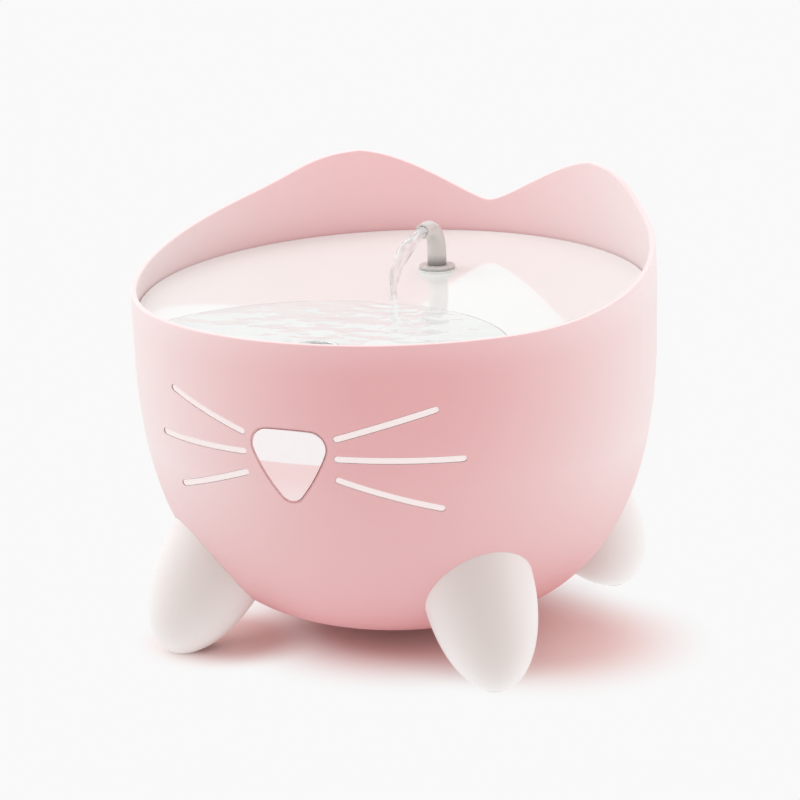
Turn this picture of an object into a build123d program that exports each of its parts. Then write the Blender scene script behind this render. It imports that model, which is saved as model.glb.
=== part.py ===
from build123d import *
import os
from math import atan2, cos, degrees, hypot, radians, sin, tan

# Countertop drinking fountain for a cat.  Millimetres, +Z up, the face looks along -Y,
# and the origin is on the floor under the middle of the bowl.

# ---- reservoir bowl --------------------------------------------------------------------------
rim_radius = 104.4            # outside, at the top edge
rim_height = 140.5            # top edge above the floor
belly_inset = 0.4             # the side is this much narrower where it starts to curve in
belly_drop = 20.5             # that place, below the rim
belly_reach = 50.0            # how far the curve hugs the upright side
bottom_shy = 13.0             # the curve hugs the flat bottom to this far inside the side
bottom_flat = 26.0            # radius of the flat middle of the bottom
bottom_height = 8.0           # underside above the floor
bowl_wall = 2.4
rim_round = 0.6               # round of the wall's top edge, ears and all
seat_drop = 13.0              # inner ledge that carries the tray, below the rim
seat_width = 2.6
seat_thick = 2.4

# ---- ears: the rear of the wall rises into two peaks -------------------------------------------
ear_height = 34.0             # ear peaks above the rim
ear_lean = 2.4                # the peaks stand this much further in than the rim
lean_drop = 2.0               # the lean starts this far below the rim
ear_angle = 31.6              # each peak from the rear, about the bowl's axis
ear_end_angle = 130.8         # where the flank meets the rim, from the rear
flank_angles = (96.0, 66.0, 52.0)        # points of the flank, from the rear
flank_shares = (0.168, 0.503, 0.731)     # their heights, as shares of the ear height
valley_height = 12.4          # lowest point between the ears above the rim
valley_reach = 8.9            # how far the valley stays level
peak_reach = 17.4             # how far the peak stays level on its inner side

# ---- drinking tray ---------------------------------------------------------------------------
tray_rim_wall = 2.0           # upright ring under the tray's edge
tray_rim_drop = 6.2           # top of that ring at the front, below the bowl's rim
dish_tilt = 2.1               # degrees, the floor falls to the front
dish_crown = 2230.0           # radius of the floor's own shallow curve
dish_drop = 7.5               # floor at the bowl's axis, below the rim
dish_wall = 1.8
drain_offset = 77.5           # overflow collar, in front of the axis
drain_radius = 8.0
drain_wall = 1.5
drain_rise = 0.8              # top of the overflow collar above the floor, just under the water
drain_bar = 1.4
filter_offset = 46.0          # middle of the filter, in front of the axis
filter_skirt_wall = 1.8
filter_skirt_drop = 28.5      # its lower edge, below the rim

# ---- spout -----------------------------------------------------------------------------------
spout_offset = 44.5           # behind the axis
spout_radius = 3.9
spout_bore = 2.4
spout_rise = 6.7              # straight part above the collar
spout_bend = 10.0
spout_nose_length = 4.4
spout_mouth_radius = 3.1
spout_mouth_wall = 0.8
spout_mouth_round = 0.4
spout_pad_radius = 7.9        # level pad on the tray under the spout
spout_pad_drop = 4.8          # below the rim
collar_radius = 7.3
collar_thick = 1.1
collar_round = 0.5
seal_radius = 6.9
seal_thick = 0.5
stem_drop = 22.5              # lower end of the spout's stem, below the rim
socket_wall = 2.0             # tray socket round the spout's stem
socket_drop = 26.5            # its lower end, below the rim
riser_wall = 1.5
riser_overlap = 9.0           # length of tray socket inside the riser

# ---- filter ----------------------------------------------------------------------------------
basket_radius = 41.7
basket_wall = 1.6
basket_floor = 1.8
basket_drop = 19.5            # its top edge, below the rim
basket_depth = 24.0
basket_hole = 2.2
basket_ring_radii = (9.0, 18.0, 27.0, 35.0)
ring_hole_count = 6           # in the first ring, and as many more in each ring after it
foam_thick = 7.0
carbon_thick = 9.0
lid_thick = 1.8
lid_knob_radius = 5.0
lid_knob_height = 3.0
oring_radius = 1.0            # thickness of the O-ring's own section
oring_drop = 5.5              # below the basket's top edge
oring_bite = 0.7              # depth of its groove

# ---- pump ------------------------------------------------------------------------------------
pump_width = 42.0
pump_front = 8.0              # front face behind the bowl's axis
pump_case_length = 30.0
pump_bottom = 21.0
pump_height = 42.0
pump_corner = 6.0
pump_wall = 2.0
shaft_height = 48.0
chamber_radius = 17.0         # outside of the impeller chamber
chamber_wall = 2.3
chamber_length = 14.0
outlet_height = 74.0
outlet_wall = 1.7
cap_thick = 2.5
well_radius = 7.0             # inside of the rotor well
well_wall = 1.2
well_depth = 22.5             # from the chamber into the case
riser_bottom = 66.0
shaft_radius = 1.5
bush_radius = 3.2
bush_length = 2.2
magnet_radius = 6.2
impeller_hub_radius = 4.2
impeller_radius = 13.4
impeller_length = 10.5
blade_thick = 1.2
blade_count = 6
core_length = 12.0            # stack of laminations, along the shaft
core_front_gap = 9.5          # from the pump's front face
core_half_width = 17.0
core_bottom_gap = 4.5         # core above the case's outer bottom
core_yoke = 8.0
core_pole_gap = 6.0           # half the slot between the poles
core_top = 58.0
coil_half_width = 9.0
coil_build = 2.2              # thickness of winding round the yoke
cover_spigot_wall = 1.4       # ring that plugs into the chamber
cover_spigot_length = 1.6
cover_face = 2.2
cover_hub_radius = 5.2
cover_hub_lip = 0.5           # snap lip that keeps the dial on
cover_hub_lip_length = 1.2
inlet_slots = 8
inlet_slot_width = 3.0
inlet_slot_inner = 7.5
inlet_slot_outer = 14.0
dial_thick = 2.4
dial_radius = 16.0
dial_tab = 4.0
led_radius = 2.6
led_height = 54.0
gland_radius = 3.4
gland_bore = 1.9
gland_length = 6.0
gland_height = 30.0
cup_spacing_x = 28.0
cup_spacing_y = 18.0
cup_stem_radius = 3.0
cup_radius = 8.0
cup_height = 5.0
cup_hollow_radius = 6.4
cup_hollow_height = 2.6
cup_peg_radius = 1.6
cup_peg_height = 1.5

# ---- face: nose and whiskers -----------------------------------------------------------------
nose_drop = 47.5              # middle of the nose, below the rim
nose_half_width = 17.4        # corners of the triangle before they are rounded
nose_top = 12.9
nose_tip = 17.2
nose_top_bulge = 0.9
nose_side_bulge = 2.2
nose_corner_round = 6.4
nose_tip_round = 5.0
nose_moat = 0.9               # width of the sunk line round the nose
nose_moat_depth = 0.9
nose_sink = 0.1               # lens face under the bowl's surface
nose_flange = 3.0
nose_flange_thick = 1.8
nose_lens_round = 0.5
gasket_thick = 0.8
retainer_width = 3.0
retainer_lip = 1.4
whisker_width = 2.4
whisker_groove = 1.3
whisker_sink = 0.35
whisker_inner_angle = 10.8    # inner ends, from the middle of the face
whisker_outer_angles = {"upper": 31.3, "middle": 37.0, "lower": 32.5}
whisker_inner_rises = {"upper": 11.4, "middle": 3.5, "lower": -5.0}     # over the nose's middle
whisker_outer_rises = {"upper": 22.2, "middle": 2.4, "lower": -17.1}

# ---- feet ------------------------------------------------------------------------------------
foot_inset = 10.2             # lowest point of the foot, inside the rim
foot_lean = 57.9              # degrees, the foot's own axis above the floor
foot_radius = 21.7            # widest part
foot_swell = 41.5             # from the tip to the widest part, along the foot's axis
foot_tip_sink = 0.6           # how far the round end would reach below the floor
foot_length = 60.0
foot_wall = 2.5
foot_angles = {"front_left": -135.0, "front_right": -45.0, "rear_right": 45.0, "rear_left": 135.0}
pad_proud = 0.6
pad_radius = 4.5
pad_peg_radius = 2.0
pad_peg_length = 4.2
screw_inset = 10.2            # screw, inside the foot's lowest point
screw_radius = 1.5
screw_head_radius = 2.8
screw_head_height = 2.2
screw_head_seat = 11.0
screw_tip = 30.0
boss_radius = 4.5
boss_bottom = 20.0
foot_tube_radius = 5.0
screw_access_gap = 0.4

# ---- cable grommet ---------------------------------------------------------------------------
grommet_drop = 28.5           # below the rim
grommet_hole = 4.0
grommet_bore = 2.0
grommet_flange = 5.6
grommet_flange_thick = 0.6

# ---- clearances ------------------------------------------------------------------------------
lift_gap = 0.3                # pieces that lift in and out of each other
turn_gap = 0.08               # a pin that turns in its hole
snug_gap = 0.02               # pushed or snapped together for good
lens_gap = 0.15               # round the inlaid face pieces
overcut = 5.0                 # how far a cutter runs past what it cuts
through = 300.0               # a cutter that goes right through

# ---- places worked out from the sizes --------------------------------------------------------
belly_radius = rim_radius - belly_inset
belly_height = rim_height - belly_drop
ear_peak = rim_height + ear_height
ear_radius = rim_radius - ear_lean
seat_height = rim_height - seat_drop
tray_radius = belly_radius - bowl_wall - lift_gap
dish_height = rim_height - dish_drop
filter_skirt_bottom = rim_height - filter_skirt_drop
spout_pad_height = rim_height - spout_pad_drop
stem_bottom = rim_height - stem_drop
socket_bottom = rim_height - socket_drop
basket_top = rim_height - basket_drop
basket_bottom = basket_top - basket_depth
oring_height = basket_top - oring_drop
nose_height = rim_height - nose_drop
foot_reach = rim_radius - foot_inset
screw_reach = foot_reach - screw_inset
grommet_height = rim_height - grommet_drop
stem_radius = spout_radius
socket_radius = stem_radius + turn_gap + socket_wall
riser_inner = socket_radius + lift_gap
riser_radius = riser_inner + riser_wall
seal_top = spout_pad_height + seal_thick
collar_top = seal_top + collar_thick
pump_rear = pump_front + pump_case_length
chamber_rear = pump_rear + chamber_length
pump_top = pump_bottom + pump_height
cover_rear = chamber_rear + cover_face


def bowl_form(inset):
    """The bowl's outer form up to the ears' peaks, moved in by inset, as a solid of revolution."""
    top = ear_peak + overcut if inset > 0 else ear_peak
    with BuildPart() as form:
        with BuildSketch(Plane.XZ):
            with BuildLine():
                belly = (belly_radius - inset, belly_height)
                floor_edge = (bottom_flat, bottom_height + inset)
                rim = (rim_radius - inset, rim_height - lean_drop)
                Polyline(floor_edge, (0, bottom_height + inset), (0, top), (ear_radius - inset, top))
                Bezier((ear_radius - inset, top), (rim_radius - inset, rim_height + ear_height / 3), rim)
                Line(rim, belly)
                Bezier(belly, (belly_radius - inset, belly_height - belly_reach),
                       (belly_radius - bottom_shy, bottom_height + inset), floor_edge)
            make_face()
        revolve(axis=Axis.Z)
    return form.part


def write(piece, node):
    """Name a finished piece and write its STEP file."""
    piece.label = node
    export_step(piece, f"parts/{node}.step")


def front_prism(sketch):
    """Push a sketch of the face forward, through the bowl's front wall."""
    with BuildPart() as prism:
        add(sketch)
        extrude(amount=rim_radius + overcut, dir=(0, -1, 0))
    return prism.part


os.makedirs("parts", exist_ok=True)
outer_form = bowl_form(0)
inner_form = bowl_form(bowl_wall)


# ---- feet: hollow rounded cones that carry the bowl ------------------------------------------
round_end = 0.5523            # share of a curve's two radii that draws a quarter of an ellipse
lean = radians(foot_lean)
foot_drop = hypot(foot_swell * sin(lean), foot_radius * cos(lean))
foot_shift = (foot_swell**2 - foot_radius**2) * sin(lean) * cos(lean) / foot_drop
tip_x = foot_reach - foot_shift + foot_swell * cos(lean)
tip_z = foot_drop - foot_tip_sink - foot_swell * sin(lean)
foot_plane = Plane(origin=(tip_x, 0, tip_z), x_dir=(sin(lean), 0, cos(lean)), z_dir=(0, -1, 0))
foot_axis = Axis(foot_plane.origin, foot_plane.y_dir)


def foot_form(inset):
    """A rounded cone that leans in from its tip to under the bowl, moved in by inset."""
    side = foot_radius - inset
    rise = foot_swell - inset
    with BuildPart() as form:
        with BuildSketch(foot_plane):
            with BuildLine():
                Bezier((0, inset), (side * round_end, inset), (side, foot_swell - rise * round_end),
                       (side, foot_swell))
                Polyline((side, foot_swell), (side, foot_length), (0, foot_length), (0, inset))
            make_face()
        revolve(axis=foot_axis)
    return form.part


foot_outside = foot_form(0)
foot_inside = foot_form(foot_wall)

with BuildPart() as foot_tube:
    with BuildSketch():
        with Locations((screw_reach, 0)):
            Circle(foot_tube_radius)
    extrude(amount=boss_bottom)

with BuildPart() as foot:
    add(foot_outside)
    add(foot_inside, mode=Mode.SUBTRACT)
    add(foot_tube.part)
    add(foot_outside, mode=Mode.INTERSECT)
    add(outer_form, mode=Mode.SUBTRACT)
    with Locations((screw_reach, 0, boss_bottom)):
        Cylinder(boss_radius + snug_gap, rim_height,
                 align=(Align.CENTER, Align.CENTER, Align.MIN), mode=Mode.SUBTRACT)
    with BuildSketch(Plane.XY.offset(pad_proud)):
        Circle(rim_radius + overcut)
    extrude(amount=-overcut, mode=Mode.SUBTRACT)
    with Locations((foot_reach, 0, 0)):
        Cylinder(pad_peg_radius + snug_gap, pad_peg_length + overcut,
                 align=(Align.CENTER, Align.CENTER, Align.MIN), mode=Mode.SUBTRACT)
    with Locations((screw_reach, 0, 0)):
        Cylinder(screw_head_radius + screw_access_gap, screw_head_seat,
                 align=(Align.CENTER, Align.CENTER, Align.MIN), mode=Mode.SUBTRACT)
        Cylinder(screw_radius + turn_gap, boss_bottom + overcut,
                 align=(Align.CENTER, Align.CENTER, Align.MIN), mode=Mode.SUBTRACT)

with BuildPart() as foot_pad:
    with Locations((foot_reach, 0, 0)):
        Cylinder(pad_radius, pad_proud, align=(Align.CENTER, Align.CENTER, Align.MIN))
        Cylinder(pad_peg_radius, pad_peg_length, align=(Align.CENTER, Align.CENTER, Align.MIN))

with BuildPart() as foot_screw:
    with Locations((screw_reach, 0, screw_head_seat)):
        Cylinder(screw_head_radius, screw_head_height, align=(Align.CENTER, Align.CENTER, Align.MAX))
        Cylinder(screw_radius, screw_tip - screw_head_seat, align=(Align.CENTER, Align.CENTER, Align.MIN))

for corner, angle in foot_angles.items():
    write(foot.part.rotate(Axis.Z, angle), f"foot_{corner}")
    write(foot_pad.part.rotate(Axis.Z, angle), f"foot_pad_{corner}")

write(Compound(children=[foot_screw.part.rotate(Axis.Z, angle) for angle in foot_angles.values()]),
      "foot_screws")


# ---- nose: a lens with a gasket and a retainer behind the wall --------------------------------
def nose_outline(grow):
    """A rounded triangle, point down, grown by grow on every side."""
    with BuildSketch(Plane.XZ) as outline:
        with BuildLine():
            left = (-nose_half_width, nose_height + nose_top)
            right = (nose_half_width, nose_height + nose_top)
            tip = (0, nose_height - nose_tip)
            side = hypot(nose_half_width, nose_top + nose_tip)
            out_x = nose_half_width / 2 + nose_side_bulge * (nose_top + nose_tip) / side
            out_z = nose_height + (nose_top - nose_tip) / 2 - nose_side_bulge * nose_half_width / side
            ThreePointArc(left, (0, nose_height + nose_top + nose_top_bulge), right)
            ThreePointArc(right, (out_x, out_z), tip)
            ThreePointArc(tip, (-out_x, out_z), left)
        make_face()
        fillet(outline.vertices().sort_by(Axis.Y)[0], nose_tip_round)
        fillet(outline.vertices().sort_by(Axis.Y)[-2:], nose_corner_round)
        if grow:
            offset(amount=grow, kind=Kind.ARC, mode=Mode.REPLACE)
    return outline.sketch


flange_face = bowl_wall + gasket_thick
flange_back = flange_face + nose_flange_thick
retainer_back = flange_back + retainer_lip
window_prism = front_prism(nose_outline(lens_gap))
lens_prism = front_prism(nose_outline(0))
flange_prism = front_prism(nose_outline(nose_flange))
moat_prism = front_prism(nose_outline(nose_moat))
frame_prism = front_prism(nose_outline(nose_flange + retainer_width))
flange_room = front_prism(nose_outline(nose_flange + snug_gap))
sink_form = bowl_form(nose_sink)
moat_form = bowl_form(nose_moat_depth)
flange_form = bowl_form(flange_face)
flange_back_form = bowl_form(flange_back)
retainer_form = bowl_form(retainer_back)

with BuildPart() as nose_lens:
    add(lens_prism)
    add(sink_form, mode=Mode.INTERSECT)
    add(flange_back_form, mode=Mode.SUBTRACT)
    front_rim = nose_lens.faces().sort_by(Axis.Y)[0].edges()
    fillet(front_rim, nose_lens_round)
with BuildPart() as lens_flange:
    add(flange_prism)
    add(flange_form, mode=Mode.INTERSECT)
    add(flange_back_form, mode=Mode.SUBTRACT)
with BuildPart() as nose_window:
    add(nose_lens.part)
    add(lens_flange.part)
write(nose_window.part, "nose_lens")

with BuildPart() as nose_gasket:
    add(flange_prism)
    add(inner_form, mode=Mode.INTERSECT)
    add(flange_form, mode=Mode.SUBTRACT)
    add(window_prism, mode=Mode.SUBTRACT)
write(nose_gasket.part, "nose_gasket")

with BuildPart() as nose_retainer:
    add(frame_prism)
    add(inner_form, mode=Mode.INTERSECT)
    add(retainer_form, mode=Mode.SUBTRACT)
    add(flange_room, mode=Mode.SUBTRACT)
with BuildPart() as retainer_rim:
    add(frame_prism)
    add(flange_back_form, mode=Mode.INTERSECT)
    add(retainer_form, mode=Mode.SUBTRACT)
    add(lens_prism, mode=Mode.SUBTRACT)
with BuildPart() as retainer_whole:
    add(nose_retainer.part)
    add(retainer_rim.part)
write(retainer_whole.part, "nose_retainer")


# ---- whiskers: strips laid into grooves of the bowl -------------------------------------------
def bowl_radius_at(height):
    """Outside radius of the bowl at a height, read from its form."""
    section = outer_form & Plane.XY.offset(height) * Rectangle(4 * rim_radius, 4 * rim_radius)
    return section.bounding_box().size.X / 2


def whisker_prism(level, side, width):
    """One whisker's rounded strip, pushed forward through the front wall."""
    inner_height = nose_height + whisker_inner_rises[level]
    outer_height = nose_height + whisker_outer_rises[level]
    inner_x = side * bowl_radius_at(inner_height) * sin(radians(whisker_inner_angle))
    outer_x = side * bowl_radius_at(outer_height) * sin(radians(whisker_outer_angles[level]))
    run = hypot(outer_x - inner_x, outer_height - inner_height)
    turn = degrees(atan2(outer_height - inner_height, outer_x - inner_x))
    with BuildSketch(Plane.XZ) as strip:
        with Locations(((inner_x + outer_x) / 2, (inner_height + outer_height) / 2)):
            SlotCenterToCenter(run, width, rotation=turn)
    return front_prism(strip.sketch)


groove_form = bowl_form(whisker_groove)
whisker_form = bowl_form(whisker_sink)
groove_prisms = []
for side_name, side in (("left", -1), ("right", 1)):
    for level in whisker_outer_angles:
        groove_prisms.append(whisker_prism(level, side, whisker_width + 2 * lens_gap))
        strip_prism = whisker_prism(level, side, whisker_width)
        with BuildPart() as whisker:
            add(strip_prism)
            add(whisker_form, mode=Mode.INTERSECT)
            add(groove_form, mode=Mode.SUBTRACT)
        write(whisker.part, f"whisker_{side_name}_{level}")


# ---- reservoir bowl --------------------------------------------------------------------------
with BuildPart() as foot_bosses:
    with BuildSketch(Plane.XY.offset(boss_bottom)):
        with PolarLocations(screw_reach, len(foot_angles), start_angle=foot_angles["rear_right"]):
            Circle(boss_radius)
    extrude(amount=rim_height / 2 - boss_bottom)

with BuildPart() as seat_ring:
    with BuildSketch(Plane.XZ):
        seat_outer = rim_radius - bowl_wall / 2
        seat_inner = belly_radius - bowl_wall - seat_width
        with BuildLine():
            Polyline((seat_outer, seat_height), (seat_inner, seat_height),
                     (seat_inner, seat_height - seat_thick),
                     (seat_outer, seat_height - seat_thick - (seat_outer - seat_inner)), close=True)
        make_face()
    revolve(axis=Axis.Z)


def behind_axis(angle):
    """Distance behind the axis of a point of the wall, given its angle from the rear."""
    return rim_radius * cos(radians(angle))


def on_wall_top(edge):
    """Whether an edge runs along the wall's top, and not across it."""
    return edge.position_at(0.5).Z > rim_height - rim_round and edge.length > 2 * bowl_wall


with BuildPart() as flank_cutter:
    with BuildSketch(Plane.YZ):
        with BuildLine():
            flank = [(behind_axis(ear_end_angle), rim_height)]
            flank += [(behind_axis(angle), rim_height + share * ear_height)
                      for angle, share in zip(flank_angles, flank_shares)]
            flank += [(behind_axis(ear_angle), ear_peak)]
            reach = rim_radius + overcut
            Spline(*flank, tangents=[(1, 0), (1, 0)])
            Polyline(flank[-1], (reach, ear_peak), (reach, ear_peak + ear_height),
                     (-reach, ear_peak + ear_height), (-reach, rim_height), flank[0])
        make_face()
    extrude(amount=reach, both=True)

with BuildPart() as valley_cutter:
    with BuildSketch(Plane.XZ) as valley_face:
        with BuildLine():
            peak_x = rim_radius * sin(radians(ear_angle))
            valley_top = ear_peak + ear_height
            valley_low = rim_height + valley_height
            Bezier((0, valley_low), (valley_reach, valley_low),
                   (peak_x - peak_reach, ear_peak), (peak_x, ear_peak))
            Polyline((peak_x, ear_peak), (peak_x, valley_top), (0, valley_top), (0, valley_low))
        make_face()
        mirror(about=Plane.YZ)
    extrude(amount=-reach)

with BuildPart() as cable_hole:
    with BuildSketch(Plane.XZ):
        with Locations((0, grommet_height)):
            Circle(grommet_hole)
    extrude(amount=-(rim_radius + overcut))

with BuildPart() as groove_cutter:
    for prism in groove_prisms:
        add(prism)
    add(groove_form, mode=Mode.SUBTRACT)

with BuildPart() as bowl:
    add(outer_form)
    add(flank_cutter.part, mode=Mode.SUBTRACT)
    add(valley_cutter.part, mode=Mode.SUBTRACT)
    add(foot_bosses.part)
    add(inner_form, mode=Mode.SUBTRACT)
    fillet(bowl.edges().filter_by(on_wall_top), rim_round)
    add(seat_ring.part)
    add(window_prism, mode=Mode.SUBTRACT)
    add(groove_cutter.part, mode=Mode.SUBTRACT)
    add(cable_hole.part, mode=Mode.SUBTRACT)
    with Locations((0, 0, boss_bottom)):
        with PolarLocations(screw_reach, len(foot_angles), start_angle=foot_angles["rear_right"]):
            Cylinder(screw_radius + snug_gap, screw_tip - boss_bottom + screw_access_gap,
                     align=(Align.CENTER, Align.CENTER, Align.MIN), mode=Mode.SUBTRACT)

with BuildPart() as moat_cutter:
    add(moat_prism)
    add(moat_form, mode=Mode.SUBTRACT)

with BuildPart() as reservoir_bowl:
    add(bowl.part)
    add(moat_cutter.part, mode=Mode.SUBTRACT)
write(reservoir_bowl.part, "reservoir_bowl")

wall_outside = bowl_radius_at(grommet_height)
with BuildPart() as grommet_inside:
    with BuildSketch(Plane.XZ.offset(-(wall_outside - bowl_wall - grommet_flange_thick))):
        with Locations((0, grommet_height)):
            Circle(grommet_flange)
    extrude(amount=-2 * bowl_wall)
    add(inner_form, mode=Mode.INTERSECT)

with BuildPart() as cable_grommet:
    with BuildSketch(Plane.XZ.offset(-(wall_outside - bowl_wall))):
        with Locations((0, grommet_height)):
            Circle(grommet_flange)
    extrude(amount=-(bowl_wall + grommet_flange_thick))
    add(outer_form, mode=Mode.SUBTRACT)
    with BuildSketch(Plane.XZ.offset(-(wall_outside - bowl_wall - grommet_flange_thick))):
        with Locations((0, grommet_height)):
            Circle(grommet_hole - snug_gap)
    extrude(amount=-(bowl_wall + 2 * grommet_flange_thick))
    add(grommet_inside.part)
    with BuildSketch(Plane.XZ):
        with Locations((0, grommet_height)):
            Circle(grommet_bore)
    extrude(amount=-through, mode=Mode.SUBTRACT)
write(cable_grommet.part, "cable_grommet")


# ---- drinking tray ---------------------------------------------------------------------------
tilt = radians(dish_tilt)
dish_section = Plane(origin=(0, 0, dish_height), x_dir=(1, 0, 0), z_dir=(0, -cos(tilt), -sin(tilt)))
dish_axis = Axis((0, 0, dish_height), (0, -sin(tilt), cos(tilt)))


def floor_height(y):
    """Height of the tray's floor on the centre line."""
    return dish_height + y * tan(tilt) + y**2 / (2 * dish_crown)


def above_floor(drop):
    """All that is above the tray's shallow sloping floor, or above that floor lowered by drop."""
    rise = rim_radius**2 / (2 * dish_crown)
    with BuildPart() as form:
        with BuildSketch(dish_section):
            with BuildLine():
                Bezier((0, -drop), (rim_radius / 2, -drop), (rim_radius, rise - drop))
                Polyline((rim_radius, rise - drop), (rim_radius, ear_height), (0, ear_height), (0, -drop))
            make_face()
        revolve(axis=dish_axis)
    return form.part


dish_inside = above_floor(0)
dish_under = above_floor(dish_wall)
skirt_inner = basket_radius + lift_gap


def tray_disc(bottom, top, offset, radius):
    """An upright round form of the tray, its middle offset behind the axis."""
    with BuildPart() as disc:
        with BuildSketch(Plane.XY.offset(bottom)):
            with Locations((0, offset)):
                Circle(radius)
        extrude(amount=top - bottom)
    return disc.part


skirt_outside = tray_disc(filter_skirt_bottom, dish_height, -filter_offset, skirt_inner + filter_skirt_wall)
skirt_inside = tray_disc(filter_skirt_bottom, dish_height, -filter_offset, skirt_inner)
spout_socket = tray_disc(socket_bottom, spout_pad_height, spout_offset, socket_radius)
spout_pad = tray_disc(spout_pad_height - dish_wall, spout_pad_height, spout_offset, spout_pad_radius)
stem_hole = tray_disc(0, through, spout_offset, stem_radius + turn_gap)
drain_top = floor_height(-drain_offset) + drain_rise
drain_collar = tray_disc(filter_skirt_bottom, drain_top, -drain_offset, drain_radius + drain_wall)
drain_hole = tray_disc(0, through, -drain_offset, drain_radius)

with BuildPart() as drain_bars:
    with BuildSketch(Plane.XY.offset(floor_height(-drain_offset) - dish_wall)):
        with Locations((0, -drain_offset)):
            Rectangle(2 * drain_radius + drain_wall, drain_bar)
            Rectangle(drain_bar, 2 * drain_radius + drain_wall)
    extrude(amount=dish_wall)

with BuildPart() as collar_above_floor:
    add(drain_collar)
    add(dish_inside, mode=Mode.INTERSECT)

with BuildPart() as tray_skirt:
    add(skirt_outside)
    add(skirt_inside, mode=Mode.SUBTRACT)

with BuildPart() as tray_underside:
    add(tray_disc(seat_height - overcut, rim_height, 0, tray_radius - tray_rim_wall))
    add(dish_under, mode=Mode.SUBTRACT)

with BuildPart() as tray_front_rim:
    add(tray_disc(seat_height, rim_height - tray_rim_drop, 0, tray_radius))
    add(tray_disc(seat_height, rim_height, 0, tray_radius - tray_rim_wall), mode=Mode.SUBTRACT)

with BuildPart() as drinking_tray:
    add(tray_disc(seat_height, rim_height, 0, tray_radius))
    add(tray_underside.part, mode=Mode.SUBTRACT)
    add(tray_skirt.part)
    add(spout_socket)
    add(dish_inside, mode=Mode.SUBTRACT)
    add(tray_front_rim.part)
    add(spout_pad)
    add(collar_above_floor.part)
    add(stem_hole, mode=Mode.SUBTRACT)
    add(drain_hole, mode=Mode.SUBTRACT)
    add(drain_bars.part)
write(drinking_tray.part, "drinking_tray")


# ---- spout: bent tube, collar and seal ---------------------------------------------------------
bend_height = collar_top + spout_rise
mouth_height = bend_height + spout_bend
mouth_y = spout_offset - spout_bend - spout_nose_length
half_bend = radians(45)       # the middle of the quarter turn


def spout_form(stem_end_radius, mouth_end_radius):
    """The spout's stem, bend and nose as one solid, tapering from the bend to the mouth."""
    with BuildPart() as form:
        with BuildLine(Plane.YZ):
            corner_y = spout_bend * (1 - cos(half_bend))
            corner_z = spout_bend * sin(half_bend)
            ThreePointArc((spout_offset, bend_height), (spout_offset - corner_y, bend_height + corner_z),
                          (spout_offset - spout_bend, mouth_height))
            Line((spout_offset - spout_bend, mouth_height), (mouth_y, mouth_height))
        with BuildSketch(Plane.XY.offset(bend_height)):
            with Locations((0, spout_offset)):
                Circle(stem_end_radius)
        with BuildSketch(Plane.XZ.offset(-mouth_y)):
            with Locations((0, mouth_height)):
                Circle(mouth_end_radius)
        sweep(multisection=True)
        with BuildSketch(Plane.XY.offset(stem_bottom)):
            with Locations((0, spout_offset)):
                Circle(stem_end_radius)
        extrude(amount=bend_height - stem_bottom)
    return form.part


spout_outside = spout_form(spout_radius, spout_mouth_radius)
spout_inside = spout_form(spout_bore, spout_mouth_radius - spout_mouth_wall)

with BuildPart() as spout:
    add(spout_outside)
    fillet(spout.faces().sort_by(Axis.Y)[0].edges(), spout_mouth_round)
    add(spout_inside, mode=Mode.SUBTRACT)
write(spout.part, "spout_tube")

with BuildPart() as spout_collar:
    with BuildSketch(Plane.XY.offset(seal_top)):
        with Locations((0, spout_offset)):
            Circle(collar_radius)
    extrude(amount=collar_thick)
    fillet(spout_collar.edges().sort_by(Axis.Z)[-1], collar_round)
    with Locations((0, spout_offset, seal_top)):
        Cylinder(spout_radius + snug_gap, 4 * collar_thick, mode=Mode.SUBTRACT)
write(spout_collar.part, "spout_collar")

with BuildPart() as spout_seal:
    with BuildSketch(Plane.XY.offset(spout_pad_height)):
        with Locations((0, spout_offset)):
            Circle(seal_radius)
            Circle(spout_radius + turn_gap, mode=Mode.SUBTRACT)
    extrude(amount=seal_thick)
write(spout_seal.part, "spout_seal")

riser_top = socket_bottom + riser_overlap
with BuildPart() as riser_tube:
    with BuildSketch(Plane.XY.offset(riser_bottom)):
        with Locations((0, spout_offset)):
            Circle(riser_radius)
            Circle(riser_inner, mode=Mode.SUBTRACT)
    extrude(amount=riser_top - riser_bottom)
write(riser_tube.part, "riser_tube")


# ---- filter: basket, foam, carbon, lid and O-ring ------------------------------------------------
def filter_disc(bottom, thick, radius):
    """A round layer of the filter."""
    with BuildPart() as disc:
        with BuildSketch(Plane.XY.offset(bottom)):
            with Locations((0, -filter_offset)):
                Circle(radius)
        extrude(amount=thick)
    return disc.part


pack_radius = basket_radius - basket_wall
foam_bottom = basket_bottom + basket_floor
carbon_bottom = foam_bottom + foam_thick
lid_bottom = carbon_bottom + carbon_thick


def ring_holes(bottom, thick):
    """The drip holes of the basket and its lid."""
    with BuildPart() as holes:
        with BuildSketch(Plane.XY.offset(bottom)):
            for ring, ring_radius in enumerate(basket_ring_radii, start=1):
                with Locations((0, -filter_offset)):
                    with PolarLocations(ring_radius, ring * ring_hole_count):
                        Circle(basket_hole / 2)
        extrude(amount=thick)
    return holes.part


basket_holes = ring_holes(basket_bottom, basket_floor)
lid_holes = ring_holes(lid_bottom, lid_thick)

with BuildPart() as filter_basket:
    with BuildSketch(Plane.XY.offset(basket_bottom)):
        with Locations((0, -filter_offset)):
            Circle(basket_radius)
    extrude(amount=basket_top - basket_bottom)
    with BuildSketch(Plane.XY.offset(foam_bottom)):
        with Locations((0, -filter_offset)):
            Circle(pack_radius)
    extrude(amount=basket_top - foam_bottom, mode=Mode.SUBTRACT)
    add(basket_holes, mode=Mode.SUBTRACT)
    with Locations((0, -filter_offset, oring_height)):
        Torus(basket_radius + oring_radius - oring_bite, oring_radius, mode=Mode.SUBTRACT)
write(filter_basket.part, "filter_basket")

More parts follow.
